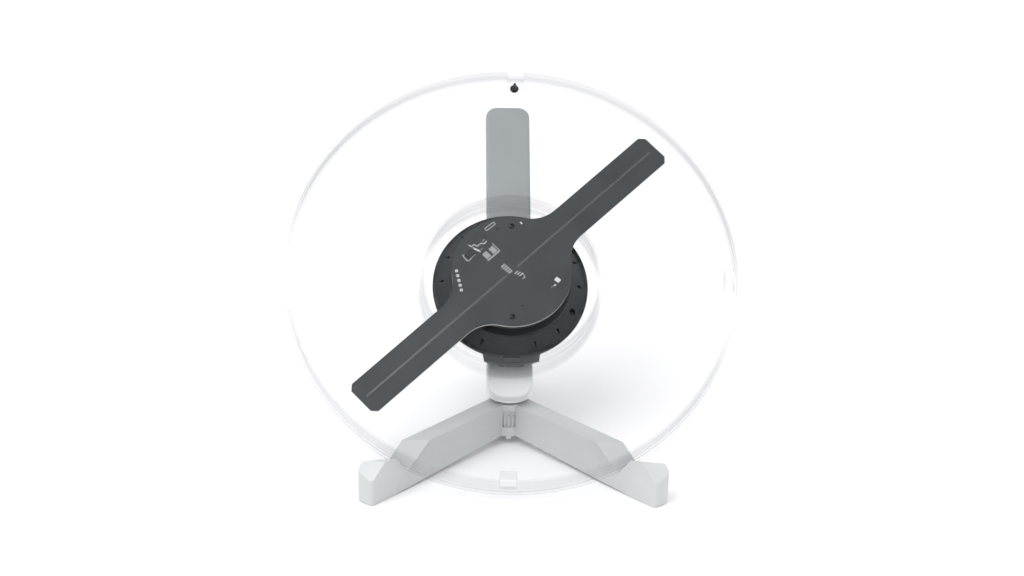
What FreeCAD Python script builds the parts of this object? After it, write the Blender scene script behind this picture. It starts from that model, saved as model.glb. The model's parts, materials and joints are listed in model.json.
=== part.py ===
import FreeCAD, Part

import math
import os

from FreeCAD import Placement, Rotation, Vector

# Desktop hologram fan: a two-bladed LED circuit board that spins on a flat motor base, inside a
# round clear cover that leans back on a three-legged moulded stand. Millimetres, +Z up.
# The fan is modelled lying flat, its front face up and its origin at the middle of the LED
# board's front face, and is then leaned back into place. The stand is modelled upright.

# ---- Lean and place of the fan ----
lean_back = 46.0          # of the fan's face, from vertical
fan_behind_hub = 10.0     # middle of the LED board, behind the hub's axis
rim_over_floor = 3.0      # lowest point of the cover

# ---- LED board ----
blade_span = 420.0
blade_width = 39.4
blade_angle = 43.5        # of the blades at rest, from level
board_disc_r = 62.0
board_t = 1.6
neck_fillet_r = 36.0
tip_chamfer = 5.5
led_row_w = 1.4
led_row_h = 0.7
led_row_end = 8.0         # from the last LED to the blade's tip
led_row_start = 9.0       # from the board's middle to the first LED

# ---- Rotor ----
rotor_upper_r = 60.0
rotor_lower_r = 57.5
rotor_step_z = -12.0
rotor_floor_z = -18.0
rotor_wall = 2.4
motor_cup_r = 36.0
motor_cup_top = 3.0
shaft_r = 2.5
rotor_boss_r = 7.0
board_screw_pcr = 51.0
board_screw_angle = 90.0

# ---- Motor ----
bearing_r = 5.5
bearing_len = 5.0
bearing_tube_r = 8.0
bearing_tube_top = -8.6
running_clearance = 0.03
stator_r = 28.0
stator_len = 9.0
stator_teeth = 9
air_gap = 0.6
magnet_t = 2.4
yoke_t = 2.6
coil_inner_r = 39.0
coil_outer_r = 53.0
coil_t = 1.4
coil_gap = 1.6
driver_board_r = 40.0
driver_board_up = 9.0     # over the base's back plate

# ---- Motor base ----
base_boss_r = 64.0
base_boss_wall = 3.0
base_cone_r = 77.5
base_cone_drop = 13.0
flange_r = 81.0
flange_t = 3.0
tab_w = 61.0              # of the flange's tab, which carries the key, where it leaves the flange
tab_end_w = 55.0
tab_r = 88.5
tab_turn = 0.5            # of the tab and key about the fan's axis, from straight down
base_body_r = 74.0
base_wall = 3.0
back_plate_t = 2.5
vent_count = 16
vent_len = 6.5
vent_w = 3.2
vent_inset = 1.5
vent_floor = 0.8          # of a vent, above the flange
vent_turn = -2.0
base_screw_angles = (-26.0, 90.0, 206.0)
base_screw_pcr = 71.0
key_len = 18.0
key_w = 6.4
key_from_centre = 82.5
key_travel = 1.2
key_gap = 0.35
key_under_face = 0.4      # the key's top lies this far below the tab's face
key_floor_t = 1.5
key_room = 5.0            # depth of the key's pocket under the flange
inlet_x = 48.0
inlet_y = -28.0
inlet_r = 6.5
inlet_depth = 7.0
inlet_body_len = 6.0
jack_r = 2.8
jack_pin_r = 1.05

# ---- Clear cover ----
cover_r = 236.0           # back cover, over its rim
cover_front_r = 231.5     # front cover, at its face
cover_wall = 2.5
cover_front_gap = 7.4     # LED board to the inside of the front cover
cover_back_z = -21.0
rim_lip_h = 8.0
rim_lip_t = 2.4
cover_fit = 0.2
cover_edge_r = 2.0
cover_turn = -1.4         # of the four screw bosses about the fan's axis
cover_boss_w = 17.0
cover_boss_t = 9.0
cover_screw_r = 1.5
cover_screw_head_r = 4.6
cover_screw_len = 9.0
collar_front_z = -10.0
collar_front_r = 92.5
collar_back_r = 96.5
collar_wall = 2.2
collar_floor_t = 2.4
collar_hole_gap = 0.8
collar_back_gap = 2.0

# ---- Stand ----
bar_w = 47.0
bar_t = 12.0
bar_above = 222.0         # bar's top end, above the fan's middle
bar_below = 116.0         # bar's bottom end, below the fan's middle
bar_top_corner_r = 12.0
bar_bottom_corner_r = 18.0
bar_edge_r = 2.5
bar_front_z = -58.0
post_r = 24.2
post_edge_r = 4.0
post_screw_depth = 24.0   # from the bar's back to the seats of the post's screws
neck_top_r = 16.0
neck_low_r = 12.0
neck_len = 3.0
hub_r = 20.5
hub_top = 44.0
hub_bottom = 8.5
hub_window_w = 17.0
hub_window_top = 37.0
hub_window_h = 18.5
hub_window_depth = 4.0
hub_ribs = 3
hub_rib_w = 1.6
hub_wall = 1.4
hub_tab_w = 5.2
hub_tab_bottom = 5.5
leg_angle = 42.4          # of each front leg, from straight ahead
leg_len = 216.5
rear_leg_len = 158.0
leg_inner = 8.0           # a front leg's inner face, from the line of its foot and the hub
leg_w = 20.5
leg_top_fall = 1.0        # of a leg's top, from the hub to its foot
leg_rise = 10.0           # height of a leg's underside at the hub
leg_end_r = 4.0
foot_flat = 30.0          # length of a foot's level underside
foot_len = 60.0           # from a leg's end to where its top starts to drop to the foot
foot_top = 42.0
foot_facet_len = 18.5     # of the end facet, along the foot's inner face
foot_low = 26.0           # height of the foot's end at its inner corner
foot_high = 33.5          # and at its outer corner
foot_side_len = 28.5      # of the side facet, along the foot's inner face
foot_side_reach = 36.0    # from the foot's end to the side facet's low point
foot_notch_len = 42.0     # from the foot's end to the middle of its notch for the cover
foot_side_low = 32.0      # height of the foot's outer edge there
foot_crest_len = 8.5      # from the foot's end to its outer edge's high point
foot_crest = 40.0
leg_draft = 3.0           # how far a front leg's outer face leans in at its foot
rear_foot_top = 24.0
seat_clearance = 0.3
pad_r = 6.0
pad_t = 1.6
pad_show = 0.5            # how far a pad stands out under its leg
plate_r = 34.0
plate_t = 2.5
plate_arm_w = 13.0
plate_bottom = 9.0
plate_clearance = 0.3
plate_screw_inset = 5.5

# ---- Fasteners ----
m3_r = 1.5
m3_head_r = 2.9
m3_head_h = 1.8
m4_r = 2.0
m4_head_r = 3.9
m4_head_h = 2.4
hole_clearance = 0.15

# ---- Worked-out places ----
base_top_z = rotor_floor_z - 2 * coil_t - coil_gap
cone_top_z = base_top_z - base_boss_wall
flange_front_z = cone_top_z - base_cone_drop
base_back_z = bar_front_z
stator_front_z = rotor_floor_z + stator_len - 1.0
tab_half_angle = math.degrees(math.asin(tab_w / 2 / tab_r))
magnet_inner_r = stator_r + air_gap
yoke_inner_r = magnet_inner_r + magnet_t
collar_back_z = bar_front_z + collar_back_gap
base_back_top_z = base_back_z + back_plate_t
key_floor_z = flange_front_z - flange_t - key_room
front_face_z = cover_front_gap + cover_wall
cover_floor_z = cover_back_z + cover_wall
cover_boss_r = cover_front_r - cover_wall - cover_boss_t / 2

tilt = math.radians(90.0 - lean_back)
fan_z = (rim_over_floor + cover_r * math.sin(tilt) - cover_back_z * math.cos(tilt))
splay = math.radians(leg_angle)
rear_reach = (fan_behind_hub + bar_above * math.cos(tilt) + (bar_t - bar_front_z) * math.sin(tilt))
front_reach = ((leg_len - leg_end_r) * math.cos(splay) + (leg_inner - leg_end_r) * math.sin(splay)
               + leg_end_r)
# The origin is on the floor, under the middle of the whole object.
hub_y = (front_reach - rear_reach) / 2
fan_place = Placement(Vector(0, hub_y + fan_behind_hub, fan_z),
                      Rotation(Vector(1, 0, 0), 90.0 - lean_back))
hub_place = Placement(Vector(0, hub_y, 0), Rotation())
UP = Vector(0, 0, 1)


def turned(points):
    """Solid of revolution about Z from a closed list of (radius, z) points."""
    outline = Part.makePolygon([Vector(r, 0, z) for r, z in points + points[:1]])
    return Part.Face(outline).revolve(Vector(), UP, 360)


def disc(radius, bottom, top, x=0.0, y=0.0):
    return Part.makeCylinder(radius, top - bottom, Vector(x, y, bottom))


def ring(outer, inner, bottom, top):
    return disc(outer, bottom, top).cut(disc(inner, bottom - 1, top + 1))


def block(x_size, y_size, bottom, top, x=0.0, y=0.0):
    """Upright block centred on (x, y)."""
    return Part.makeBox(x_size, y_size, top - bottom, Vector(x - x_size / 2, y - y_size / 2, bottom))


def sector(outer, inner, bottom, top, middle, half_angle):
    """Part of a ring, centred on an angle in degrees."""
    wedge = Part.makeCylinder(outer, top - bottom, Vector(0, 0, bottom), UP, 2 * half_angle)
    wedge.rotate(Vector(), UP, middle - half_angle)
    return wedge.cut(disc(inner, bottom - 1, top + 1))


def stadium(length, width, bottom, top, x=0.0, y=0.0):
    """Upright slot-shaped solid, long along X."""
    half = (length - width) / 2
    body = block(length - width, width, bottom, top, x, y)
    return body.fuse([disc(width / 2, bottom, top, x - half, y),
                      disc(width / 2, bottom, top, x + half, y)]).removeSplitter()


def around(shape, angles):
    """Copies of a shape turned about Z by each angle."""
    copies = []
    for angle in angles:
        copy = shape.copy()
        copy.rotate(Vector(), UP, angle)
        copies.append(copy)
    return copies


def upright_edges(shape, test):
    """Edges parallel to Z whose middle passes a test."""
    found = []
    for edge in shape.Edges:
        first, last = edge.Vertexes[0].Point, edge.Vertexes[-1].Point
        if edge.Curve.TypeId == "Part::GeomLine" and abs((last - first).normalize().z) > 0.999:
            if test(edge.CenterOfMass):
                found.append(edge)
    return found


def level_edges(shape, z):
    """Edges that lie at one height."""
    return [edge for edge in shape.Edges
            if abs(edge.BoundBox.ZMin - z) < 1e-3 and abs(edge.BoundBox.ZMax - z) < 1e-3]


def pan_screw(x, y, seat_z, length, radius, head_r, head_h):
    """Pan-head screw, its head above seat_z and its shank below."""
    top = seat_z + head_h
    screw = turned([(0, top), (head_r * 0.6, top), (head_r, top - head_h * 0.5), (head_r, seat_z),
                    (radius, seat_z), (radius, seat_z - length), (0, seat_z - length)])
    screw.translate(Vector(x, y, 0))
    return screw


def flipped(shape, z):
    """Copy of a shape turned front to back about a level line through the axis at height z."""
    copy = shape.copy()
    copy.rotate(Vector(0, 0, z), Vector(0, 1, 0), 180)
    return copy


# ---- Rotor: everything that spins ----

def at_blade_angle(shape):
    shape.rotate(Vector(), UP, blade_angle)
    return shape


def board_screw_points():
    points = []
    for angle in (board_screw_angle, board_screw_angle + 180):
        turn = math.radians(angle)
        points.append((board_screw_pcr * math.cos(turn), board_screw_pcr * math.sin(turn)))
    return points


def led_board():
    blades = block(blade_span, blade_width, -board_t, 0)
    blades = blades.makeChamfer(tip_chamfer, upright_edges(blades, lambda p: True))
    board = blades.fuse(disc(board_disc_r, -board_t, 0)).removeSplitter()
    necks = upright_edges(board, lambda p: abs(p.x) < board_disc_r)
    board = at_blade_angle(board.makeFillet(neck_fillet_r, necks))
    for x, y in board_screw_points():
        board = board.cut(disc(m3_r + hole_clearance, -board_t - 1, 1, x, y))
    return board


def led_rows():
    length = blade_span / 2 - led_row_end - led_row_start
    middle = led_row_start + length / 2
    rows = [block(length, led_row_w, 0, led_row_h, side * middle) for side in (-1, 1)]
    return at_blade_angle(Part.makeCompound(rows))


def rotor_drum():
    top = -board_t
    inner = yoke_inner_r + yoke_t
    profile = [
        (shaft_r, top), (motor_cup_r, top), (motor_cup_r, rotor_floor_z + rotor_wall),
        (rotor_lower_r - rotor_wall, rotor_floor_z + rotor_wall),
        (rotor_lower_r - rotor_wall, rotor_step_z + rotor_wall),
        (rotor_upper_r - rotor_wall, rotor_step_z + rotor_wall),
        (rotor_upper_r - rotor_wall, top), (rotor_upper_r, top), (rotor_upper_r, rotor_step_z),
        (rotor_lower_r, rotor_step_z), (rotor_lower_r, rotor_floor_z), (inner, rotor_floor_z),
        (inner, top - motor_cup_top), (rotor_boss_r, top - motor_cup_top),
        (rotor_boss_r, bearing_tube_top + 0.6), (shaft_r, bearing_tube_top + 0.6),
    ]
    drum = turned(profile)
    for x, y in board_screw_points():
        post = disc(m3_r + 2.2, rotor_floor_z + rotor_wall, top, x, y)
        drum = drum.fuse(post).cut(disc(m3_r, rotor_floor_z + rotor_wall + 2, top + 1, x, y))
    return drum.removeSplitter()


def rotor_yoke():
    return ring(yoke_inner_r + yoke_t, yoke_inner_r, rotor_floor_z - 0.6, -board_t - motor_cup_top)


def rotor_magnets():
    return ring(yoke_inner_r, magnet_inner_r, rotor_floor_z, stator_front_z + 1.0)


def motor_shaft():
    return disc(shaft_r, base_back_z + back_plate_t + 6.0, -board_t)


def receiver_coil():
    return ring(coil_outer_r, coil_inner_r, rotor_floor_z - coil_t, rotor_floor_z)


def board_screws():
    return Part.makeCompound([pan_screw(x, y, 0, 10.0, m3_r, m3_head_r, m3_head_h)
                              for x, y in board_screw_points()])


def board_chips():
    """Card socket, driver chips and sensor that stand on the board's front face."""
    socket = block(8.2, 7.4, 0, 1.5)
    socket = socket.makeChamfer(0.5, level_edges(socket, 1.5))
    socket.rotate(Vector(), UP, blade_angle)
    socket.translate(Vector(-43.5, 18.5, 0))
    sensor = block(5.6, 4.2, 0, 1.1)
    sensor = sensor.makeChamfer(0.4, level_edges(sensor, 1.1))
    sensor.rotate(Vector(), UP, blade_angle - 90)
    sensor.translate(Vector(47.0, -10.0, 0))
    return Part.makeCompound([socket, sensor])


# ---- Motor base: what carries the rotor ----

def at_tab(shape):
    shape.rotate(Vector(), UP, tab_turn)
    return shape


def key_outline(grow, bottom, top):
    return at_tab(stadium(key_len + 2 * grow, key_w + 2 * grow, bottom, top, 0, -key_from_centre))


def tab_outline(grow, bottom, top):
    """The flange's tab, with round outer corners."""
    inner, outer = -(base_body_r - base_wall), -tab_r - 2 * grow
    wide, narrow = tab_w / 2 + grow, tab_end_w / 2 + grow
    tab = Part.makePolygon([Vector(-wide, inner, bottom), Vector(wide, inner, bottom),
                            Vector(narrow, outer, bottom), Vector(-narrow, outer, bottom),
                            Vector(-wide, inner, bottom)])
    tab = Part.Face(tab).extrude(Vector(0, 0, top - bottom))
    return at_tab(tab.common(disc(tab_r + grow, bottom, top)))


def base_housing():
    back = base_back_top_z
    bowl_r = base_body_r - base_wall
    boss_wall_top = base_top_z - base_boss_wall
    profile = [
        (bearing_tube_r, base_top_z), (base_boss_r - 1.0, base_top_z), (base_boss_r, base_top_z - 1.0),
        (base_boss_r, cone_top_z), (base_cone_r, flange_front_z), (flange_r, flange_front_z),
        (flange_r, flange_front_z - flange_t), (base_body_r, flange_front_z - flange_t),
        (base_body_r, back), (bowl_r, back), (bowl_r, flange_front_z - flange_t),
        (base_boss_r - base_wall, boss_wall_top - base_wall), (2 * bearing_tube_r, boss_wall_top - base_wall),
        (bearing_tube_r + 3.0, back + 12.0), (bearing_tube_r, back + 12.0),
    ]
    housing = turned(profile)
    housing = housing.fuse(tab_outline(0, flange_front_z - flange_t, flange_front_z))
    pocket_depth = tab_r - base_body_r - 1.0
    pocket = block(key_len + 8.0, pocket_depth + base_wall, key_floor_z, flange_front_z - flange_t, 0,
                   -base_body_r + base_wall / 2 - pocket_depth / 2)
    housing = housing.fuse(at_tab(pocket))
    housing = housing.cut(key_outline(key_gap, key_floor_z + key_floor_t, flange_front_z + 1))
    vent_out = base_cone_r - vent_inset
    vent = Part.makePolygon([Vector(vent_out - vent_len, -vent_w / 2, 0),
                             Vector(vent_out - vent_len, vent_w / 2, 0),
                             Vector(vent_out, 0, 0),
                             Vector(vent_out - vent_len, -vent_w / 2, 0)])
    vent = Part.Face(vent).extrude(Vector(0, 0, base_cone_drop))
    vent.translate(Vector(0, 0, flange_front_z + vent_floor))
    step = 360.0 / vent_count
    angles = [step * i + vent_turn for i in range(vent_count)]
    clear_of_key = [a for a in angles if abs((a + 90 + 180) % 360 - 180) > tab_half_angle]
    housing = housing.cut(around(vent, clear_of_key))
    seat_z = flange_front_z + 1.0
    for angle in base_screw_angles:
        turn = math.radians(angle)
        x, y = base_screw_pcr * math.cos(turn), base_screw_pcr * math.sin(turn)
        boss = disc(m3_head_r + 2.0, flange_front_z - flange_t, seat_z + m3_head_h + 2.2, x, y)
        housing = housing.fuse(boss)
        housing = housing.cut(disc(m3_head_r + 0.3, seat_z, base_top_z, x, y))
        housing = housing.cut(disc(m3_r, seat_z - 14.0, seat_z + 1, x, y))
    inlet = disc(inlet_r + base_wall, back, boss_wall_top - base_wall, inlet_x, inlet_y)
    housing = housing.fuse(inlet)
    housing = housing.cut(disc(inlet_r, back - 1, back + inlet_depth + inlet_body_len, inlet_x, inlet_y))
    return housing.removeSplitter()


def base_back_plate():
    plate = disc(base_body_r, base_back_z, base_back_z + back_plate_t)
    plate = plate.cut(disc(inlet_r, base_back_z - 1, base_back_z + back_plate_t + 1, inlet_x, inlet_y))
    for x, y in bar_to_base_points():
        plate = plate.fuse(disc(m4_r + 3.0, base_back_z + back_plate_t, base_back_z + 10.0, x, y))
        plate = plate.cut(disc(m4_r, base_back_z - 1, base_back_z + 8.0, x, y))
    return plate.removeSplitter()


def base_screws():
    screws = []
    for angle in base_screw_angles:
        turn = math.radians(angle)
        screws.append(pan_screw(base_screw_pcr * math.cos(turn), base_screw_pcr * math.sin(turn),
                                flange_front_z + 1.0, 12.0, m3_r, m3_head_r, m3_head_h))
    return Part.makeCompound(screws)


def power_key():
    rest_top = flange_front_z - key_under_face
    floor = key_floor_z + key_floor_t
    cap = key_outline(0, floor + key_travel + 0.4, rest_top)
    return cap.makeFillet(0.8, level_edges(cap, rest_top))


def dc_inlet():
    front = base_back_top_z + inlet_depth
    top = front + inlet_body_len
    body = disc(inlet_r, front, top, inlet_x, inlet_y)
    body = body.cut(disc(jack_r, front - 1, top - 1.0, inlet_x, inlet_y))
    return body.fuse(disc(jack_pin_r, front - 1.0, top - 0.5, inlet_x, inlet_y))


def bearing_tube():
    return ring(bearing_tube_r, bearing_r, base_back_z + back_plate_t + 8.0, bearing_tube_top)


def bearing(top):
    return ring(bearing_r, shaft_r + running_clearance, top - bearing_len, top)


def stator_core():
    root_r = bearing_tube_r + 4.0
    bottom = stator_front_z - stator_len
    core = ring(root_r, bearing_tube_r, bottom, stator_front_z)
    stem = block(stator_r - root_r + 1.0, 4.0, bottom, stator_front_z, (stator_r + root_r) / 2 - 0.5)
    shoe = sector(stator_r, stator_r - 2.5, bottom, stator_front_z, 0, 160.0 / stator_teeth)
    pitch = 360.0 / stator_teeth
    angles = [pitch * i for i in range(stator_teeth)]
    return core.fuse(around(stem, angles) + around(shoe, angles)).removeSplitter()


def stator_windings():
    inner = bearing_tube_r + 5.0
    outer = stator_r - 3.0
    bottom = stator_front_z - stator_len
    coil = block(outer - inner, 6.4, bottom - 1.2, stator_front_z + 1.2, (outer + inner) / 2)
    coil = coil.cut(block(outer, 4.0, bottom, stator_front_z, (outer + inner) / 2))
    pitch = 360.0 / stator_teeth
    return Part.makeCompound(around(coil, [pitch * i for i in range(stator_teeth)]))


def transmitter_coil():
    return ring(coil_outer_r, coil_inner_r, base_top_z, base_top_z + coil_t)


def base_board():
    bottom = base_back_top_z + driver_board_up
    return ring(driver_board_r, bearing_tube_r + 4.0, bottom, bottom + board_t)


# ---- Clear cover ----

def boss_angles():
    return [cover_turn + 90.0 * i for i in range(4)]


def top_boss_angle():
    return boss_angles()[1]


def front_cover():
    seat = cover_floor_z
    low_r = cover_r - rim_lip_t - cover_fit
    shell = turned([
        (0, front_face_z), (cover_front_r, front_face_z), (low_r, seat), (low_r - cover_wall, seat),
        (cover_front_r - cover_wall, front_face_z - cover_wall), (0, front_face_z - cover_wall),
    ])
    rim = [edge for edge in level_edges(shell, front_face_z) if edge.Length > cover_front_r]
    shell = shell.makeFillet(cover_edge_r, rim)
    boss = block(cover_boss_t, cover_boss_w, seat, front_face_z - cover_wall, cover_boss_r)
    boss = boss.fuse(block(cover_wall, cover_boss_w, seat, front_face_z - cover_wall / 2,
                           cover_boss_r + cover_boss_t / 2))
    boss = boss.common(disc(cover_front_r - cover_wall / 2, seat, front_face_z))
    hole = disc(cover_screw_r, seat - 1, seat + cover_screw_len, cover_boss_r)
    shell = shell.fuse(around(boss, boss_angles()))
    return shell.cut(around(hole, [top_boss_angle()])).removeSplitter()


def back_cover():
    lip_in = cover_r - rim_lip_t
    lip_top = cover_back_z + rim_lip_h
    taper = (collar_back_r - collar_front_r) / (collar_front_z - collar_back_z)

    def collar_r(z):
        return collar_front_r + taper * (collar_front_z - z)

    shell = turned([
        (collar_r(cover_back_z) - 1.0, cover_back_z), (cover_r, cover_back_z), (cover_r, lip_top),
        (lip_in, lip_top), (lip_in, cover_floor_z), (collar_r(cover_floor_z) - 1.0, cover_floor_z),
    ])
    rim = [edge for edge in level_edges(shell, cover_back_z) if edge.Length > 6 * collar_back_r]
    shell = shell.makeFillet(cover_edge_r, rim)
    collar = turned([
        (collar_front_r - collar_wall, collar_front_z), (collar_front_r, collar_front_z),
        (collar_back_r, collar_back_z), (collar_back_r - collar_wall, collar_back_z),
    ])
    floor_z = flange_front_z
    floor = turned([
        (base_cone_r + collar_hole_gap, floor_z), (collar_r(floor_z) - 1.0, floor_z),
        (collar_r(floor_z + collar_floor_t) - 1.0, floor_z + collar_floor_t),
        (base_cone_r + collar_hole_gap, floor_z + collar_floor_t),
    ])
    notch = tab_outline(collar_hole_gap, floor_z - 1, floor_z + collar_floor_t + 1)
    shell = shell.fuse([collar, floor.cut(notch)])
    hole = disc(cover_screw_r + hole_clearance, cover_back_z - 1, cover_floor_z + 1, cover_boss_r)
    return shell.cut(around(hole, [top_boss_angle()])).removeSplitter()


def cover_screws():
    length = cover_screw_len + cover_wall
    screw = flipped(pan_screw(0, 0, cover_back_z, length - 1.0, cover_screw_r, cover_screw_head_r,
                              m3_head_h), cover_back_z)
    screw.translate(Vector(cover_boss_r, 0, 0))
    return Part.makeCompound(around(screw, [top_boss_angle()]))


# ---- Stand ----

def bar_to_base_points():
    return [(x, y) for x in (-12.0, 12.0) for y in (-30.0, 30.0)]


def bar_to_post_points():
    middle = -bar_below + 42.0
    return [(0.0, middle - 9.0), (0.0, middle + 9.0)]


def support_bar():
    length = bar_above + bar_below
    bar = block(bar_w, length, bar_front_z - bar_t, bar_front_z, 0, (bar_above - bar_below) / 2)
    bar = bar.makeFillet(bar_top_corner_r, upright_edges(bar, lambda p: p.y > 0))
    bar = bar.makeFillet(bar_bottom_corner_r, upright_edges(bar, lambda p: p.y < 0 and abs(p.x) > bar_w / 2 - 1))
    bar = bar.makeFillet(bar_edge_r, level_edges(bar, bar_front_z))
    for x, y in bar_to_base_points():
        bar = bar.cut(disc(m4_r + hole_clearance, bar_front_z - bar_t - 1, bar_front_z + 1, x, y))
        bar = bar.cut(disc(m4_head_r + 0.4, bar_front_z - bar_t - 1, bar_front_z - bar_t + 4.0, x, y))
    for x, y in bar_to_post_points():
        bar = bar.cut(disc(m4_r, bar_front_z - bar_t - 1, bar_front_z - 3.0, x, y))
    return bar


def bar_screws():
    seat = bar_front_z - bar_t + 4.0
    screw = flipped(pan_screw(0, 0, seat, 14.0, m4_r, m4_head_r, m4_head_h), seat)
    screws = []
    for x, y in bar_to_base_points():
        copy = screw.copy()
        copy.translate(Vector(x, y, 0))
        screws.append(copy)
    return Part.makeCompound(screws)


def behind_bar():
    """Everything behind the bar's back face, in the fan's own frame."""
    depth = 200.0
    return block(400, 800, bar_front_z - bar_t - depth, bar_front_z - bar_t)


def stand_post():
    bottom = hub_top + neck_len
    post = disc(post_r, bottom, bottom + 120.0)
    post = post.makeFillet(post_edge_r, level_edges(post, bottom))
    cutter = behind_bar()
    cutter.Placement = hub_place.inverse().multiply(fan_place)
    post = post.common(cutter)
    neck = turned([(0, hub_top), (neck_low_r, hub_top), (neck_top_r, bottom), (neck_top_r, bottom + 1.0),
                   (0, bottom + 1.0)])
    post = post.fuse(neck)
    for x, y in bar_to_post_points():
        seat = bar_front_z - bar_t - post_screw_depth
        hole = disc(m4_r + hole_clearance, seat - 1, bar_front_z, x, y)
        hole = hole.fuse(disc(m4_head_r + 0.4, seat - 60, seat, x, y))
        hole.Placement = hub_place.inverse().multiply(fan_place)
        post = post.cut(hole)
    return post.removeSplitter()


def post_screws():
    seat = bar_front_z - bar_t - post_screw_depth
    screw = flipped(pan_screw(0, 0, seat, post_screw_depth + 7.0, m4_r, m4_head_r, m4_head_h), seat)
    screws = []
    for x, y in bar_to_post_points():
        copy = screw.copy()
        copy.translate(Vector(x, y, 0))
        screws.append(copy)
    return Part.makeCompound(screws)


def plate_outline(grow, bottom, top):
    """Round plate with an arm along each leg."""
    plate = disc(hub_r - 2.0 + grow, bottom, top)
    reach = plate_r + grow
    arm = block(reach, plate_arm_w + 2 * grow, bottom, top, reach / 2)
    angles = [angle for angle, length in leg_directions().values()]
    return plate.fuse(around(arm, angles)).removeSplitter()


def stand_hub():
    hub = disc(hub_r, hub_bottom, hub_top)
    window_low = hub_window_top - hub_window_h
    hub = hub.cut(block(hub_window_w, 2 * hub_window_depth, window_low, hub_window_top, 0, -hub_r))
    pitch = hub_window_w / (hub_ribs + 1)
    rib_top = hub_window_top - hub_window_h / 3
    for i in range(hub_ribs):
        x = pitch * (i + 1) - hub_window_w / 2
        hub = hub.fuse(block(hub_rib_w, hub_window_depth, window_low, rib_top, x,
                             -hub_r + hub_window_depth))
    hub = hub.cut(plate_outline(plate_clearance, hub_bottom - 1, plate_bottom + plate_t))
    tab = block(hub_tab_w, hub_wall, hub_tab_bottom, hub_bottom + 1, 0, -hub_r + hub_wall / 2 + 0.3)
    hub = hub.fuse(tab)
    hub = hub.cut(disc(m4_r, hub_bottom - 1, plate_bottom + plate_t + 12.0))
    return hub.removeSplitter()


def leg_blank(length, low_side, width, end_top):
    """Leg lying along +X from the hub's axis, on its pad, with the room for plate and pad cut out."""
    top = hub_top - leg_top_fall
    outline = Part.makePolygon([
        Vector(0, 0, leg_rise), Vector(length - foot_flat, 0, pad_show), Vector(length, 0, pad_show),
        Vector(length, 0, end_top), Vector(length - foot_facet_len, 0, end_top),
        Vector(length - foot_len, 0, top), Vector(0, 0, hub_top), Vector(0, 0, leg_rise)])
    leg = Part.Face(outline).extrude(Vector(0, width, 0))
    leg.translate(Vector(0, low_side, 0))
    return leg


def leg_cuts(leg, length, angle):
    """Takes the hub, the plate's arm, its screw and the foot's pad out of a leg that points along +X."""
    leg = leg.cut(disc(hub_r, -1, hub_top + 10))
    plate = plate_outline(plate_clearance, -1, plate_bottom + plate_t)
    plate.rotate(Vector(), UP, -angle)
    leg = leg.cut(plate)
    leg = leg.cut(disc(m3_r, 0, plate_bottom + plate_t + 10.0, leg_screw_r()))
    return leg.cut(disc(pad_r + 0.1, -1, pad_t, length - 2 * pad_r))


def above(first, second, third):
    """What lies over a foot's top facet through three points."""
    normal = (second - first).cross(third - first)
    if normal.z < 0:
        normal = normal * -1
    size = 120.0
    cutter = Part.makeBox(size, size, size, Vector(-size / 2, -size / 2, 0))
    cutter.Placement = Placement(first, Rotation(UP, normal))
    return cutter.common(block(foot_notch_len, size, 0, size, leg_len - foot_notch_len / 2 + 1))


def foot_facets(side):
    """An end facet, lowest at the corner that faces the other front foot, and an outer side facet."""
    inner_y = -side * leg_inner
    outer_y = side * (leg_w - leg_inner)
    end = above(Vector(leg_len, inner_y, foot_low),
                Vector(leg_len - foot_facet_len, inner_y, foot_top),
                Vector(leg_len, outer_y, foot_high))
    outer = above(Vector(leg_len - foot_side_len, inner_y, foot_top),
                  Vector(leg_len - foot_crest_len, outer_y, foot_crest),
                  Vector(leg_len - foot_side_reach, outer_y, foot_side_low))
    return [end, outer]


def outer_draft(side):
    """Wedge that leans a front leg's outer face in toward the floor."""
    outer_y = side * (leg_w - leg_inner)
    wedge = Part.makePolygon([Vector(0, outer_y, foot_top), Vector(0, outer_y + side, foot_top),
                              Vector(0, outer_y + side, -1), Vector(0, outer_y - side * leg_draft, -1),
                              Vector(0, outer_y, foot_top)])
    return Part.Face(wedge).extrude(Vector(leg_len + 1, 0, 0))


def rim_cutter():
    """The cover's rim with room round it, in the hub's frame."""
    cutter = disc(cover_r + seat_clearance, cover_back_z - seat_clearance, front_face_z + 60.0)
    cutter.Placement = hub_place.inverse().multiply(fan_place)
    return cutter


def front_leg(side):
    low_side = -leg_inner if side > 0 else leg_inner - leg_w
    leg = leg_blank(leg_len, low_side, leg_w, foot_top)
    leg = leg.makeFillet(leg_end_r, upright_edges(leg, lambda p: p.x > leg_len - 1))
    leg = leg.cut(foot_facets(side) + [outer_draft(side)])
    angle = -90 + side * leg_angle
    leg = leg_cuts(leg, leg_len, angle)
    leg.rotate(Vector(), UP, angle)
    return leg.cut(rim_cutter()).removeSplitter()


def rear_leg():
    leg = leg_blank(rear_leg_len, -leg_w / 2, leg_w, rear_foot_top)
    leg = leg.makeFillet(leg_end_r, upright_edges(leg, lambda p: p.x > rear_leg_len - 1))
    leg = leg_cuts(leg, rear_leg_len, 90)
    leg.rotate(Vector(), UP, 90)
    return leg


def leg_directions():
    return {"left": (-90 - leg_angle, leg_len), "right": (-90 + leg_angle, leg_len),
            "rear": (90, rear_leg_len)}


def foot_pad(angle, length):
    pad = disc(pad_r, 0, pad_t, length - 2 * pad_r)
    pad.rotate(Vector(), UP, angle)
    return pad


def leg_screw_r():
    return plate_r - plate_screw_inset


def hub_plate():
    plate = plate_outline(0, plate_bottom, plate_bottom + plate_t)
    angles = [angle for angle, length in leg_directions().values()]
    hole = disc(m3_r + hole_clearance, 0, hub_top, leg_screw_r())
    return plate.cut(around(hole, angles) + [disc(m4_r + hole_clearance, 0, hub_top)])


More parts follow.
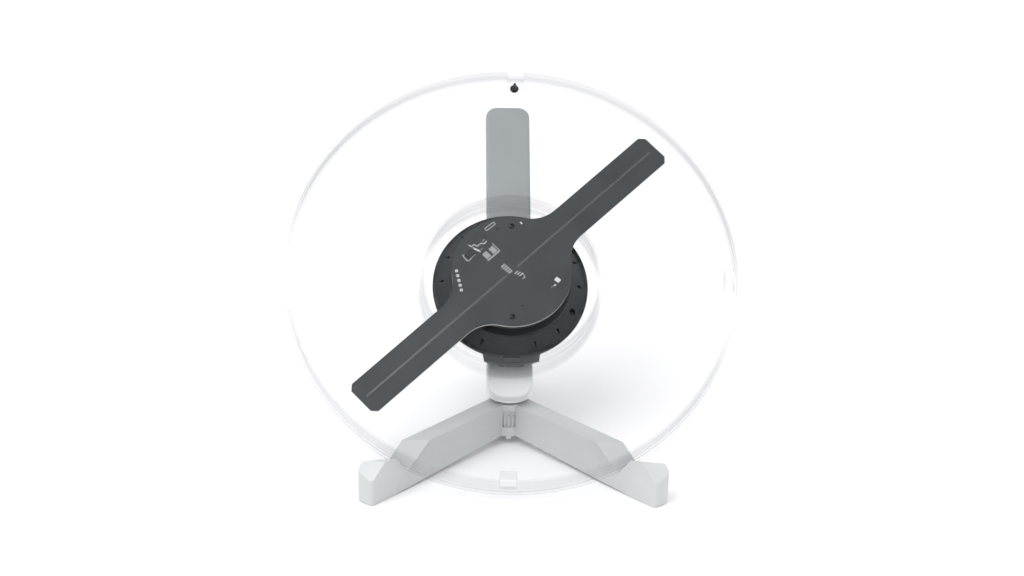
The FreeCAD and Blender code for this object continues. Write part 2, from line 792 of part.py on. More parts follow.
def hub_screws():
    leg_screw = flipped(pan_screw(0, 0, plate_bottom, 10.0, m3_r, m3_head_r, m3_head_h), plate_bottom)
    leg_screw.translate(Vector(leg_screw_r(), 0, 0))
    angles = [angle for angle, length in leg_directions().values()]
    centre = flipped(pan_screw(0, 0, plate_bottom, 12.0, m4_r, m4_head_r, m4_head_h), plate_bottom)
    return Part.makeCompound(around(leg_screw, angles) + [centre])


def fan_parts():
    return {
        "led_board": led_board(),
        "led_rows": led_rows(),
        "board_screws": board_screws(),
        "board_chips": board_chips(),
        "rotor_drum": rotor_drum(),
        "rotor_yoke": rotor_yoke(),
        "rotor_magnets": rotor_magnets(),
        "motor_shaft": motor_shaft(),
        "receiver_coil": receiver_coil(),
        "base_housing": base_housing(),
        "base_back_plate": base_back_plate(),
        "base_screws": base_screws(),
        "power_key": power_key(),
        "dc_inlet": dc_inlet(),
        "bearing_tube": bearing_tube(),
        "bearing_front": bearing(bearing_tube_top - 0.4),
        "bearing_back": bearing(base_back_z + back_plate_t + 8.6 + bearing_len),
        "stator_core": stator_core(),
        "stator_windings": stator_windings(),
        "transmitter_coil": transmitter_coil(),
        "base_board": base_board(),
        "front_cover": front_cover(),
        "back_cover": back_cover(),
        "cover_screws": cover_screws(),
        "support_bar": support_bar(),
        "bar_screws": bar_screws(),
        "post_screws": post_screws(),
    }


def stand_parts():
    parts = {
        "stand_post": stand_post(),
        "stand_hub": stand_hub(),
        "hub_plate": hub_plate(),
        "hub_screws": hub_screws(),
        "left_leg": front_leg(-1),
        "right_leg": front_leg(1),
        "rear_leg": rear_leg(),
    }
    for name, (angle, length) in leg_directions().items():
        parts[name + "_foot_pad"] = foot_pad(angle, length)
    return parts


def export(parts, place):
    for name, shape in parts.items():
        placed = shape.copy()
        placed.Placement = place.multiply(placed.Placement)
        placed.exportStep("parts/" + name + ".step")


os.makedirs("parts", exist_ok=True)
export(fan_parts(), fan_place)
export(stand_parts(), hub_place)
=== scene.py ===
import json
import math

import bmesh
import bpy
from mathutils import Matrix, Vector


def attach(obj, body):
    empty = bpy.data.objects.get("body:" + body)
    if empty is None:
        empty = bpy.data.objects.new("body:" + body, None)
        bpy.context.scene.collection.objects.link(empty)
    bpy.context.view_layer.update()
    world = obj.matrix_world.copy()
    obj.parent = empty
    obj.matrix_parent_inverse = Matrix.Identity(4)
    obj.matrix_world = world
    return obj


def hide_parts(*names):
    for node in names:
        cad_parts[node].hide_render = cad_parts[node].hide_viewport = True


# Looks of a desktop hologram fan: a two-bladed LED board that spins on a black motor base, inside
# a round clear cover that leans back on a light grey three-legged stand. Blender works in metres.
# The fan's own small pieces are drawn in millimetres in the fan's own frame, which is lying flat
# with +Z out of its face, and the matrices below put them in place.

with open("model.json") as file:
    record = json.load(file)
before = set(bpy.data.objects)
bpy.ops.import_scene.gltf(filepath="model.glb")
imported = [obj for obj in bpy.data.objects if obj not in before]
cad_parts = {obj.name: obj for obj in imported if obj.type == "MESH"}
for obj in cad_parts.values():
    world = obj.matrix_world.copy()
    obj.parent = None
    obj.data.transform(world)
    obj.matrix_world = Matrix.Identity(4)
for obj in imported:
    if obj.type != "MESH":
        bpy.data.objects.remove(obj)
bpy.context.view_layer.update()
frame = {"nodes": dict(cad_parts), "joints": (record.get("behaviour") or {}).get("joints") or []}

MM = 0.001

# ---- The fan's own frame, from the joint that the board spins on ----

blade_turn = 43.5         # degrees, of the blades at rest, from level
blade_angle = math.radians(blade_turn)

# ---- LED rows and printed marks, in millimetres ----

led_first = 9.0           # from the board's middle to the first LED
led_last = 202.0
led_pitch = 1.8
led_size = 1.15
led_height = 0.62
led_window_rim = 0.15     # of the black body, round the clear window
solder_gap = 0.12         # from a LED's body to the middle of its solder joint
print_height = 0.04
fine_line = 0.45
thin_line = 0.5
pad_line = 0.7


def fan_matrix():
    spin = next(joint for joint in frame["joints"] if joint["name"] == "rotor_spin")
    normal = Vector(spin["axis"]).normalized()
    across = Vector((1, 0, 0))
    turn = Matrix((across, normal.cross(across), normal)).transposed().to_4x4()
    return Matrix.Translation(spin["pos_m"]) @ turn


FAN = fan_matrix()
FAN_MM = FAN @ Matrix.Scale(MM, 4)
BOARD_MM = FAN_MM @ Matrix.Rotation(blade_angle, 4, "Z")


# ---- Materials ----

class Look:
    """One material's node tree, with short ways to add nodes to it."""

    def __init__(self, name):
        self.material = bpy.data.materials.new(name)
        self.material.use_nodes = True
        self.tree = self.material.node_tree
        self.tree.nodes.clear()
        self.place = None

    def node(self, kind, inputs=None, **settings):
        made = self.tree.nodes.new("ShaderNode" + kind)
        for key, value in settings.items():
            setattr(made, key, value)
        for key, value in (inputs or {}).items():
            if isinstance(value, bpy.types.NodeSocket):
                self.tree.links.new(value, made.inputs[key])
            else:
                made.inputs[key].default_value = value
        return made

    def point(self):
        """Place on the object at rest, in metres."""
        if self.place is None:
            self.place = self.node("TexCoord").outputs["Object"]
        return self.place

    def noise(self, scale, detail=3.0, roughness=0.55, vector=None):
        inputs = {"Vector": vector or self.point(), "Scale": scale, "Detail": detail,
                  "Roughness": roughness}
        return self.node("TexNoise", inputs).outputs["Fac"]

    def math(self, operation, first, second=0.0, third=0.0):
        return self.node("Math", {0: first, 1: second, 2: third}, operation=operation).outputs[0]

    def spread(self, value, low, high, out_low=0.0, out_high=1.0):
        inputs = {"Value": value, "From Min": low, "From Max": high, "To Min": out_low,
                  "To Max": out_high}
        return self.node("MapRange", inputs).outputs["Result"]

    def mix(self, share, first, second):
        made = self.node("Mix", {0: share}, data_type="RGBA")
        for index, value in ((6, first), (7, second)):
            if isinstance(value, bpy.types.NodeSocket):
                self.tree.links.new(value, made.inputs[index])
            else:
                made.inputs[index].default_value = (*value, 1.0)
        return made.outputs[2]

    def bump(self, height, distance, strength):
        inputs = {"Height": height, "Distance": distance, "Strength": strength}
        return self.node("Bump", inputs).outputs["Normal"]

    def surface(self, shader):
        output = self.node("OutputMaterial")
        self.tree.links.new(shader, output.inputs["Surface"])
        return self.material

    def principled(self, color, roughness, normal=None, **others):
        inputs = {"Roughness": roughness, **others}
        if isinstance(color, tuple):
            color = (*color, 1.0)
        inputs["Base Color"] = color
        if normal is not None:
            inputs["Normal"] = normal
        return self.node("BsdfPrincipled", inputs).outputs["BSDF"]


def fan_normal_share(look):
    """How far a face looks along the fan's axis: 1 for the board's faces, 0 for its edges."""
    normal = look.node("TexCoord").outputs["Normal"]
    axis = tuple(FAN.to_3x3().col[2])
    dot = look.node("VectorMath", {0: normal, 1: axis}, operation="DOT_PRODUCT").outputs["Value"]
    return look.math("ABSOLUTE", dot)


def fan_point(look, turn=0.0):
    """Place in the fan's own frame, turned about its axis, in metres."""
    back = (FAN @ Matrix.Rotation(turn, 4, "Z")).inverted()
    inputs = {"Vector": look.point(), "Location": back.translation,
              "Rotation": back.to_euler("XYZ")}
    return look.node("Mapping", inputs).outputs["Vector"]


def circuit_board_look():
    look = Look("solder_mask")
    place = fan_point(look, blade_angle)
    stretch = look.node("Mapping", {"Vector": place, "Scale": (18.0, 260.0, 1.0)}).outputs[0]
    traces = look.noise(1.0, 2.0, 0.4, stretch)
    cloud = look.noise(26.0, 3.0)
    tone = look.spread(cloud, 0.35, 0.65)
    mask = look.mix(tone, (0.025, 0.031, 0.032), (0.034, 0.040, 0.043))
    mask = look.mix(look.spread(traces, 0.50, 0.62, 0.0, 0.10), mask, (0.050, 0.058, 0.060))
    face = look.spread(fan_normal_share(look), 0.5, 0.8)
    core = look.mix(look.noise(900.0), (0.62, 0.63, 0.60), (0.74, 0.75, 0.72))
    color = look.mix(face, core, mask)
    height = look.spread(traces, 0.52, 0.58)
    normal = look.bump(height, 0.00001, 0.2)
    rough = look.spread(look.noise(60.0), 0.3, 0.7, 0.42, 0.50)
    return look.surface(look.principled(color, rough, normal, **{"Specular IOR Level": 0.36}))


def moulded_look(name, dark, light, roughness, grain=1500.0, depth=0.000003, gloss=0.5):
    """Moulded plastic with a fine spark-eroded grain and slow variation of tone."""
    look = Look(name)
    tone = look.spread(look.noise(14.0, 4.0), 0.3, 0.7)
    color = look.mix(tone, dark, light)
    speck = look.noise(grain, 2.0, 0.6)
    color = look.mix(look.spread(speck, 0.55, 0.75, 0.0, 0.06), color, tuple(c * 0.7 for c in dark))
    rough = look.spread(look.noise(90.0), 0.3, 0.7, roughness - 0.05, roughness + 0.05)
    normal = look.bump(speck, depth, 0.6)
    return look.surface(look.principled(color, rough, normal, **{"Specular IOR Level": gloss}))


bar_painted_light_full = -0.098     # along the bar from the fan's axis, in metres: full painted light below this
bar_painted_light_fade = -0.070   # and plain grey above this, with no painted light


def bar_look():
    """The bar's grey, with painted light that makes it paler at its lower end."""
    look = Look("bar_grey_abs_painted_light")
    along = look.node("SeparateXYZ", {0: fan_point(look)}).outputs["Y"]
    painted_light_share = look.spread(along, bar_painted_light_full, bar_painted_light_fade, 1.0, 0.0)
    tone = look.spread(look.noise(14.0, 4.0), 0.3, 0.7)
    dark = look.mix(tone, (0.275, 0.300, 0.298), (0.305, 0.330, 0.328))
    # Painted light: toward its lower end the bar's grey is mixed into this pale grey, standing in
    # for light falling there.
    color = look.mix(painted_light_share, dark, (0.70, 0.715, 0.705))
    rough = look.spread(look.noise(90.0), 0.3, 0.7, 0.31, 0.41)
    return look.surface(look.principled(color, rough))


clear_edge_share = 0.60   # of the cover's body colour, where a wall is seen from its side
clear_wall_share = 0.07   # where it is seen at a slant
clear_face_share = 0.006  # and where it is seen square on


def clear_look():
    """Clear acrylic, which shows most where it is seen along its walls and lets light through."""
    look = Look("clear_acrylic")
    facing = look.node("LayerWeight", {"Blend": 0.5}).outputs["Facing"]
    wall = look.math("MULTIPLY_ADD", look.math("POWER", facing, 2.0), clear_wall_share,
                     clear_face_share)
    share = look.math("MULTIPLY_ADD", look.math("POWER", facing, 4.0), clear_edge_share, wall)
    lit = look.math("SUBTRACT", 1.0, look.node("LightPath").outputs["Is Shadow Ray"])
    share = look.math("MULTIPLY", share, lit)
    smear = look.noise(9.0, 3.0)
    rough = look.spread(smear, 0.3, 0.7, 0.04, 0.12)
    body = look.principled((0.27, 0.275, 0.30), rough)
    through = look.node("BsdfTransparent", {"Color": (0.990, 0.990, 0.993, 1.0)}).outputs[0]
    both = look.node("MixShader", {0: share, 1: through, 2: body}).outputs[0]
    return look.surface(both)


def metal_look(name, color, roughness, line_scale=400.0):
    look = Look(name)
    stretch = look.node("Mapping", {"Vector": look.point(), "Scale": (1.0, 1.0, 8.0)}).outputs[0]
    lines = look.noise(line_scale, 2.0, 0.5, stretch)
    tone = look.mix(look.spread(lines, 0.3, 0.7), tuple(c * 0.82 for c in color), color)
    rough = look.spread(lines, 0.3, 0.7, roughness - 0.06, roughness + 0.06)
    normal = look.bump(lines, 0.00002, 0.4)
    return look.surface(look.principled(tone, rough, normal, Metallic=1.0))


def plain_look(name, color, roughness):
    """Small part with slight variation of tone and gloss."""
    look = Look(name)
    tone = look.spread(look.noise(300.0), 0.3, 0.7)
    color = look.mix(tone, tuple(c * 0.85 for c in color), color)
    rough = look.spread(look.noise(700.0), 0.3, 0.7, roughness * 0.85, min(roughness * 1.15, 1.0))
    return look.surface(look.principled(color, rough))


LOOKS = {
    "board": circuit_board_look(),
    "black": moulded_look("black_abs", (0.013, 0.016, 0.018), (0.020, 0.024, 0.026), 0.40,
                          gloss=0.40),
    "gloss_black": plain_look("black_gloss_plastic", (0.016, 0.017, 0.019), 0.25),
    "grey": moulded_look("grey_abs", (0.500, 0.520, 0.520), (0.545, 0.565, 0.565), 0.42),
    # The bar's grey carries painted light at its lower end.
    "bar_grey": bar_look(),
    # A lighter copy of the stand's grey plastic, for its post: painted light that lifts the post
    # out of its shade.
    "pale_grey": moulded_look("post_grey_abs_painted_light", (0.80, 0.82, 0.81), (0.85, 0.865, 0.855), 0.42),
    "clear": clear_look(),
    "dark_steel": metal_look("black_oxide_steel", (0.045, 0.045, 0.048), 0.22),
    "steel": metal_look("turned_steel", (0.55, 0.56, 0.57), 0.30),
    "lamination": metal_look("lamination_steel", (0.33, 0.34, 0.35), 0.42, 2500.0),
    "magnet": metal_look("nickel_magnet", (0.42, 0.42, 0.43), 0.28),
    "brass": metal_look("turned_brass", (0.70, 0.52, 0.24), 0.28),
    "copper": metal_look("enamelled_copper", (0.60, 0.25, 0.11), 0.33, 1800.0),
    "green": plain_look("driver_board", (0.03, 0.13, 0.06), 0.45),
    "rubber": plain_look("rubber", (0.03, 0.03, 0.03), 0.8),
    "ink": plain_look("white_ink", (0.62, 0.64, 0.64), 0.6),
    "lens": plain_look("led_lens", (0.15, 0.165, 0.165), 0.2),
    "tin": metal_look("solder", (0.66, 0.67, 0.68), 0.32),
}


# ---- Mesh building ----

def add_object(name, data):
    made = bpy.data.objects.new(name, data)
    bpy.context.scene.collection.objects.link(made)
    return made


class Sketch:
    """Collects closed solids drawn in one frame, then makes one object of them."""

    def __init__(self):
        self.mesh = bmesh.new()
        self.looks = []

    def index(self, look):
        if look not in self.looks:
            self.looks.append(look)
        return self.looks.index(look)

    def prism(self, outline, low, high, look, inset=0.0):
        """Solid over a closed outline, its top drawn in by inset for a chamfered rim."""
        middle = sum((Vector(p) for p in outline), Vector((0, 0))) / len(outline)
        levels = [(low, 0.0), (high - inset, 0.0)]
        if inset:
            levels.append((high, inset))
        rings = []
        for level, drawn in levels:
            ring = []
            for corner in outline:
                arm = Vector(corner) - middle
                spot = middle + arm * (1 - drawn / max(arm.length, 1e-6))
                ring.append(self.mesh.verts.new((spot.x, spot.y, level)))
            rings.append(ring)
        faces = [self.mesh.faces.new(rings[0][::-1]), self.mesh.faces.new(rings[-1])]
        count = len(outline)
        for below, above in zip(rings, rings[1:]):
            for i in range(count):
                after = (i + 1) % count
                faces.append(self.mesh.faces.new((below[i], below[after], above[after], above[i])))
        for face in faces:
            face.material_index = self.index(look)

    def block(self, x, y, width, depth, low, high, look, inset=0.0):
        half_w, half_d = width / 2, depth / 2
        outline = [(x - half_w, y - half_d), (x + half_w, y - half_d), (x + half_w, y + half_d),
                   (x - half_w, y + half_d)]
        self.prism(outline, low, high, look, inset)

    def stroke(self, first, last, width, look, low=0.0, high=print_height):
        """Printed line between two points."""
        first, last = Vector(first), Vector(last)
        side = (last - first).normalized().orthogonal() * width / 2
        self.prism([first - side, first + side, last + side, last - side][::-1], low, high, look)

    def ring(self, x, y, outer, inner, low, high, look, sides=20):
        rims = []
        for radius, level in ((outer, low), (outer, high), (inner, high), (inner, low)):
            rim = []
            for i in range(sides):
                turn = 2 * math.pi * i / sides
                rim.append(self.mesh.verts.new((x + radius * math.cos(turn),
                                                y + radius * math.sin(turn), level)))
            rims.append(rim)
        for below, above in zip(rims, rims[1:] + rims[:1]):
            for i in range(sides):
                after = (i + 1) % sides
                face = self.mesh.faces.new((below[i], below[after], above[after], above[i]))
                face.material_index = self.index(look)

    def place(self, name, matrix, body, slot, replaces=()):
        mesh = bpy.data.meshes.new(name)
        bmesh.ops.recalc_face_normals(self.mesh, faces=self.mesh.faces)
        self.mesh.to_mesh(mesh)
        self.mesh.free()
        mesh.transform(matrix)
        for look in self.looks:
            mesh.materials.append(LOOKS[look])
        piece = add_object(name, mesh)
        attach(piece, body)
        if replaces:
            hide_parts(*replaces)


# ---- LED board ----

def led_packages():
    """Every LED of both blades: a black body, its clear window and a solder joint each side."""
    sketch = Sketch()
    count = int((led_last - led_first) / led_pitch) + 1
    window = led_size - 2 * led_window_rim
    solder_y = led_size / 2 + solder_gap
    for side in (-1, 1):
        for i in range(count):
            x = side * (led_first + led_pitch * i)
            sketch.block(x, 0, led_size, led_size, 0, led_height * 0.8, "gloss_black", 0.06)
            sketch.block(x, 0, window, window, led_height * 0.7, led_height, "lens", 0.05)
            for end in (-1, 1):
                sketch.block(x, end * solder_y, led_size * 0.7, 0.26, 0, 0.16, "tin")
    sketch.place("led_packages", BOARD_MM, "rotor", "led", ["led_rows"])


def turned_point(point, at, turn):
    """A point given in a frame at a place, turned by an angle in degrees."""
    return Matrix.Rotation(math.radians(turn), 2) @ Vector(point) + Vector(at)


def corners_of(width, depth):
    half_w, half_d = width / 2, depth / 2
    return [(-half_w, -half_d), (half_w, -half_d), (half_w, half_d), (-half_w, half_d)]


def outline_lines(width, depth):
    corners = corners_of(width, depth)
    return list(zip(corners, corners[1:] + corners[:1]))


def turned_lines(sketch, at, turn, width, lines):
    """Printed lines given in a frame at a place, turned by an angle in degrees."""
    for first, last in lines:
        sketch.stroke(turned_point(first, at, turn), turned_point(last, at, turn), width, "ink")


def turned_block(sketch, at, turn, width, depth, low, high, look, inset=0.0):
    outline = [tuple(turned_point(corner, at, turn)) for corner in corners_of(width, depth)]
    sketch.prism(outline, low, high, look, inset)


connector_at = (-22.8, 21.5)    # unfilled connector, from the board's middle
card_at = (-43.0, 18.2)         # card socket
card_pins = 6
card_pin_pitch = 1.36
lamp_at = (46.7, -9.7)          # indicator lamp
lamp_turn = -40.0
ring_pads = 5


def board_print():
    """White ink, bare pads, and flat black rings as painted shade for drilled holes, on the round
    middle of the LED board.
    """
    sketch = Sketch()
    # Two sides of the unfilled connector's outline, a line beside it and its two groups of pads.
    turned_lines(sketch, connector_at, blade_turn, fine_line, outline_lines(17.0, 11.0)[:2])
    turned_lines(sketch, connector_at, blade_turn, fine_line, [((-8.5, -6.4), (8.5, -6.4))])
    for group in (-5.0, 4.0):
        rows = [((group - 3.0, -3.6 + 1.5 * i), (group + 3.0, -3.6 + 1.5 * i)) for i in range(5)]
        turned_lines(sketch, connector_at, blade_turn, pad_line, rows)
    # Corner marks round the card socket, and three short bars and a zigzag beside it.
    marks = [((-6.0, 4.0), (-6.0, -4.4)), ((-6.0, -4.4), (-1.5, -4.4)), ((-6.0, 4.0), (-3.5, 4.0))]
    turned_lines(sketch, (-43.6, 17.7), blade_turn, thin_line, marks)
    for i in range(3):
        turned_lines(sketch, (-38.5 + 2.3 * i, 24.6 - 1.0 * i), 135.0, 1.1,
                     [((-2.1, 0), (2.1, 0))])
    path = [(-44.7, 29.0), (-41.6, 26.8), (-39.0, 29.6), (-35.6, 27.4), (-31.5, 31.4),
            (-28.6, 30.2), (-26.0, 33.7)]
    turned_lines(sketch, (0, 0), 0, pad_line, list(zip(path, path[1:])))
    # Combs of short strokes on both sides of the board's middle.
    for i in range(5):
        turned_lines(sketch, (-9.6 + 1.9 * i, 5.4 - 1.7 * i), blade_turn, 0.8,
                     [((-2.2, 0), (1.8, 0))])
    turned_lines(sketch, (-6.2, 1.6), -44.0, thin_line, [((-6.4, 3.2), (6.2, 3.2))])
    for i in range(3):
        turned_lines(sketch, (4.6 + 2.4 * i, -1.4 - 1.2 * i), blade_turn, pad_line,
                     [((-2.6, 0), (2.2, 0))])
    hook = [((3.5, 2.8), (4.6, -3.4)), ((4.6, -3.4), (1.4, -4.2))]
    turned_lines(sketch, (8.0, -5.2), 20.0, thin_line, hook)
    # Marks near the rim.
    turned_lines(sketch, (-22.3, 50.5), 40.0, thin_line, outline_lines(12.0, 3.0))
    turned_lines(sketch, (9.9, 54.8), -45.0, 1.5, [((-1.5, 0), (1.5, 0))])
    turned_lines(sketch, (44.0, -15.4), 40.0, 1.4, [((-1.3, 0), (1.3, 0))])
    for i in range(ring_pads):
        share = i / (ring_pads - 1)
        sketch.ring(-57.0 + 5.0 * share, -0.6 - 21.4 * share, 1.55, 0.75, 0, print_height, "tin")
    # Each drilled hole is drawn as a flat black ring on the surface: painted shade standing in for
    # the hole.
    for x, y in ((-15.0, 48.0), (-28.0, 39.0), (10.9, -38.8)):
        sketch.ring(x, y, 1.25, 0.1, 0, print_height, "gloss_black")
    sketch.place("board_print", FAN_MM, "rotor", "circuit_board")


def board_parts():
    """Card socket, indicator lamp and small chips on the LED board."""
    sketch = Sketch()
    turned_block(sketch, card_at, blade_turn, 9.0, 6.4, 0, 1.7, "gloss_black", 0.25)
    turned_block(sketch, card_at, blade_turn, 7.6, 3.0, 1.7, 1.78, "black")
    for i in range(card_pins):
        pin_at = turned_point((-3.4 + card_pin_pitch * i, -3.6), card_at, blade_turn)
        turned_block(sketch, pin_at, blade_turn, 0.6, 0.9, 0, 0.3, "tin")
    turned_block(sketch, lamp_at, lamp_turn, 5.5, 4.5, 0, 1.0, "ink", 0.2)
    turned_block(sketch, lamp_at, lamp_turn, 0.5, 4.7, 0.3, 1.06, "tin")
    chips = (((-31.0, 24.5), 43.5), ((-29.2, 34.4), 43.5), ((-47.5, 12.0), -46.5),
             ((41.2, -17.2), 50.0))
    for at, turn in chips:
        turned_block(sketch, at, turn, 1.0, 0.8, 0, 0.5, "gloss_black", 0.05)
        for end in (-0.75, 0.75):
            end_at = turned_point((end, 0), at, turn)
            turned_block(sketch, end_at, turn, 0.5, 0.85, 0, 0.48, "tin")
    sketch.place("board_parts", FAN_MM, "rotor", "black_gloss", ["board_chips"])


# ---- Screws ----

screw_sides = 28
cross_width = 0.30        # of a recess's arm, as a share of the head's radius
cross_reach = 0.62        # of its end from the screw's axis, as the same share
cross_floor = 0.35        # of the recess, as a share of the head's height
first_cross_turn = 0.6    # radians, of the first screw's recess
next_cross_turn = 1.1     # more for each screw after it


def loose_solids(node, into):
    """Corner points of each separate solid of a CAD node, in another frame."""
    piece = frame["nodes"][node]
    mesh = bmesh.new()
    mesh.from_mesh(piece.data)
    bmesh.ops.remove_doubles(mesh, verts=mesh.verts, dist=1e-7)
    mesh.transform(into.inverted() @ piece.matrix_world)
    left = set(mesh.verts)
    solids = []
    while left:
        edge = [left.pop()]
        solid = []
        while edge:
            corner = edge.pop()
            solid.append(corner.co.copy())
            for link in corner.link_edges:
                other = link.other_vert(corner)
                if other in left:
                    left.remove(other)
                    edge.append(other)
        solids.append(solid)
    mesh.free()
    return solids


def screw_profile(head_r, head_h, shank_r, length):
    """Half outline of a pan-head screw whose head stands on the level of 0."""
    dome = [(head_r * math.sin(turn), head_h * (0.45 + 0.55 * math.cos(turn)))
            for turn in (math.radians(18.0 * i) for i in range(6))]
    dome[0] = (0.0, head_h)
    return dome + [(head_r, 0.0), (shank_r, 0.0), (shank_r, -length + shank_r * 0.5),
                   (shank_r * 0.5, -length), (0.0, -length)]


def screw_mesh(head_r, head_h, shank_r, length):
    """Pan-head screw with a cross recess, its axis along Z."""
    solid = bmesh.new()
    rings = []
    for radius, level in screw_profile(head_r, head_h, shank_r, length):
        if radius < 1e-9:
            rings.append([solid.verts.new((0, 0, level))])
            continue
        turns = [2 * math.pi * i / screw_sides for i in range(screw_sides)]
        rings.append([solid.verts.new((radius * math.cos(turn), radius * math.sin(turn), level))
                      for turn in turns])
    for upper, lower in zip(rings, rings[1:]):
        for i in range(screw_sides):
            after = (i + 1) % screw_sides
            corners = [upper[i % len(upper)], lower[i % len(lower)], lower[after % len(lower)],
                       upper[after % len(upper)]]
            solid.faces.new(list(dict.fromkeys(corners)))
    bmesh.ops.recalc_face_normals(solid, faces=solid.faces)
    cutter = bmesh.new()
    for turn in (0, 1):
        wide, thin = head_r * cross_reach, head_r * cross_width / 2
        size = (thin, wide) if turn else (wide, thin)
        low, high = head_h * cross_floor, head_h * 1.5
        corners = [(x * size[0] * grow, y * size[1] * grow, z)
                   for z, grow in ((low, 0.7), (high, 1.2))
                   for x, y in ((-1, -1), (1, -1), (1, 1), (-1, 1))]
        made = [cutter.verts.new(corner) for corner in corners]
        for face in ((3, 2, 1, 0), (4, 5, 6, 7), (0, 1, 5, 4), (1, 2, 6, 5), (2, 3, 7, 6),
                     (3, 0, 4, 7)):
            cutter.faces.new([made[i] for i in face])
    pieces = []
    for name, part in (("screw_blank", solid), ("screw_cross", cutter)):
        mesh = bpy.data.meshes.new(name)
        part.to_mesh(mesh)
        part.free()
        pieces.append(add_object(name, mesh))
    cut = pieces[0].modifiers.new("recess", "BOOLEAN")
    cut.operation = "DIFFERENCE"
    cut.object = pieces[1]
    cut.solver = "EXACT"
    cut.use_self = True
    bpy.context.view_layer.update()
    graph = bpy.context.evaluated_depsgraph_get()
    made = bpy.data.meshes.new_from_object(pieces[0].evaluated_get(graph))
    for piece in pieces:
        mesh = piece.data
        bpy.data.objects.remove(piece)
        bpy.data.meshes.remove(mesh)
    return made


def detailed_screws(node, into, body, look):
    """Takes each screw's place, ends and radii from its CAD solid and gives it a cross recess."""
    all_screws = bmesh.new()
    for number, solid in enumerate(loose_solids(node, into)):
        low = Vector([min(corner[i] for corner in solid) for i in range(3)])
        high = Vector([max(corner[i] for corner in solid) for i in range(3)])
        middle = (low + high) / 2
        reach = [((corner.xy - middle.xy).length, corner.z) for corner in solid]
        head_r = max(radius for radius, level in reach)
        edge = [level for radius, level in reach if radius > head_r * 0.97]
        faces_up = high.z - max(edge) < min(edge) - low.z
        tip = low.z if faces_up else high.z
        shank_r = max(radius for radius, level in reach if abs(level - tip) < 1e-5)
        seat = min(edge) if faces_up else max(edge)
        head_h = high.z - seat if faces_up else seat - low.z
        length = seat - low.z if faces_up else high.z - seat
        screw = screw_mesh(head_r, head_h, shank_r, length)
        turn = Matrix.Rotation(first_cross_turn + next_cross_turn * number, 4, "Z")
        if not faces_up:
            turn = Matrix.Rotation(math.pi, 4, "X") @ turn
        screw.transform(into @ Matrix.Translation((middle.x, middle.y, seat)) @ turn)
        all_screws.from_mesh(screw)
        bpy.data.meshes.remove(screw)
    mesh = bpy.data.meshes.new(node + "_detailed")
    all_screws.to_mesh(mesh)
    all_screws.free()
    mesh.materials.clear()
    mesh.materials.append(LOOKS[look])
    for face in mesh.polygons:
        face.material_index = 0
    piece = add_object(node + "_detailed", mesh)
    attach(piece, body)
    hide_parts(node)


def all_screws():
    for node, body, look, slot in (("board_screws", "rotor", "dark_steel", "dark_steel"),
                                   ("base_screws", "stand", "dark_steel", "dark_steel"),
                                   ("cover_screws", "stand", "dark_steel", "dark_steel"),
                                   ("bar_screws", "stand", "steel", "steel")):
        detailed_screws(node, FAN, body, look)
    detailed_screws("hub_screws", Matrix.Identity(4), "stand", "steel")


# ---- CAD nodes that keep their shape ----

NODE_LOOKS = {
    "board": ["led_board"],
    "black": ["rotor_drum", "base_housing", "base_back_plate"],
    "gloss_black": ["power_key", "dc_inlet"],
    "bar_grey": ["support_bar"],
    # The post takes the lighter copy of the grey plastic, painted light against its shade.
    "pale_grey": ["stand_post"],
    "grey": ["stand_hub", "left_leg", "right_leg", "rear_leg"],
    "clear": ["front_cover", "back_cover"],
    "steel": ["rotor_yoke", "motor_shaft", "bearing_front", "bearing_back", "post_screws",
              "hub_plate"],
    "lamination": ["stator_core"],
    "magnet": ["rotor_magnets"],
    "brass": ["bearing_tube"],
    "copper": ["receiver_coil", "stator_windings", "transmitter_coil"],
    "green": ["base_board"],
    "rubber": ["left_foot_pad", "right_foot_pad", "rear_foot_pad"],
}


def paint_cad_nodes():
    for look, nodes in NODE_LOOKS.items():
        for node in nodes:
            slots = frame["nodes"][node].data.materials
            slots.clear()
            slots.append(LOOKS[look])


# ---- Floor, lights and camera ----

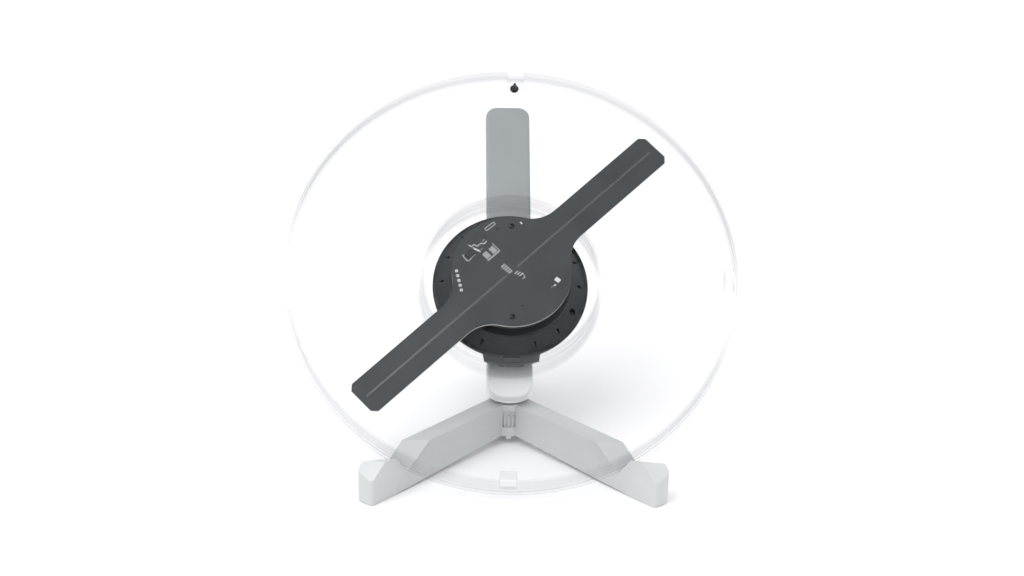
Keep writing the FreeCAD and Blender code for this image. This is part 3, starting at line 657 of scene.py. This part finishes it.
floor_size = 12.0
world_strength = 1.03
key_power = 25.0          # watts
fill_power = 2.0
view_azimuth = math.radians(-2.89)
view_elevation = math.radians(22.0)
view_roll = math.radians(1.72)
view_distance = 2.414     # metres, from the camera to what it looks at
view_lens = 82.76         # millimetres
view_target = FAN.translation + Vector((0, -0.010, -0.0148))
clear_bounces = 32        # rays pass the cover's many clear walls before they reach what is behind


def floor():
    look = Look("pale_floor")
    tone = look.mix(look.noise(3.0), (0.93, 0.93, 0.93), (0.95, 0.95, 0.95))
    material = look.surface(look.principled(tone, 0.7))
    mesh = bpy.data.meshes.new("floor")
    half = floor_size / 2
    mesh.from_pydata([(-half, -half, 0), (half, -half, 0), (half, half, 0), (-half, half, 0)], [],
                     [(0, 1, 2, 3)])
    mesh.materials.append(material)
    add_object("floor", mesh)


def area_light(name, place, target, size, power):
    data = bpy.data.lights.new(name, "AREA")
    data.size = size
    data.energy = power
    light = add_object(name, data)
    light.location = place
    light.rotation_mode = "QUATERNION"
    light.rotation_quaternion = (Vector(target) - Vector(place)).to_track_quat("-Z", "Y")


def lights():
    world = bpy.data.worlds.new("studio")
    world.use_nodes = True
    background = world.node_tree.nodes["Background"]
    background.inputs["Color"].default_value = (1.0, 1.0, 1.0, 1.0)
    background.inputs["Strength"].default_value = world_strength
    bpy.context.scene.world = world
    middle = FAN.translation
    area_light("key_light", (-1.0, -0.8, 2.1), middle, 1.6, key_power)
    area_light("fill_light", (1.5, -1.0, 1.2), middle, 1.4, fill_power)


def camera():
    data = bpy.data.cameras.new("camera")
    data.lens = view_lens
    data.clip_start = 0.05
    data.clip_end = 50.0
    view = add_object("camera", data)
    level = math.cos(view_elevation)
    back = Vector((math.sin(view_azimuth) * level, -math.cos(view_azimuth) * level,
                   math.sin(view_elevation)))
    view.location = view_target + back * view_distance
    view.rotation_mode = "QUATERNION"
    straight = (-back).to_track_quat("-Z", "Y").to_matrix()
    view.rotation_quaternion = (straight @ Matrix.Rotation(view_roll, 3, "Z")).to_quaternion()
    bpy.context.scene.camera = view


paint_cad_nodes()
led_packages()
board_print()
board_parts()
all_screws()
floor()
lights()
camera()
bpy.context.scene.view_settings.view_transform = "Standard"
bpy.context.scene.cycles.transparent_max_bounces = clear_bounces
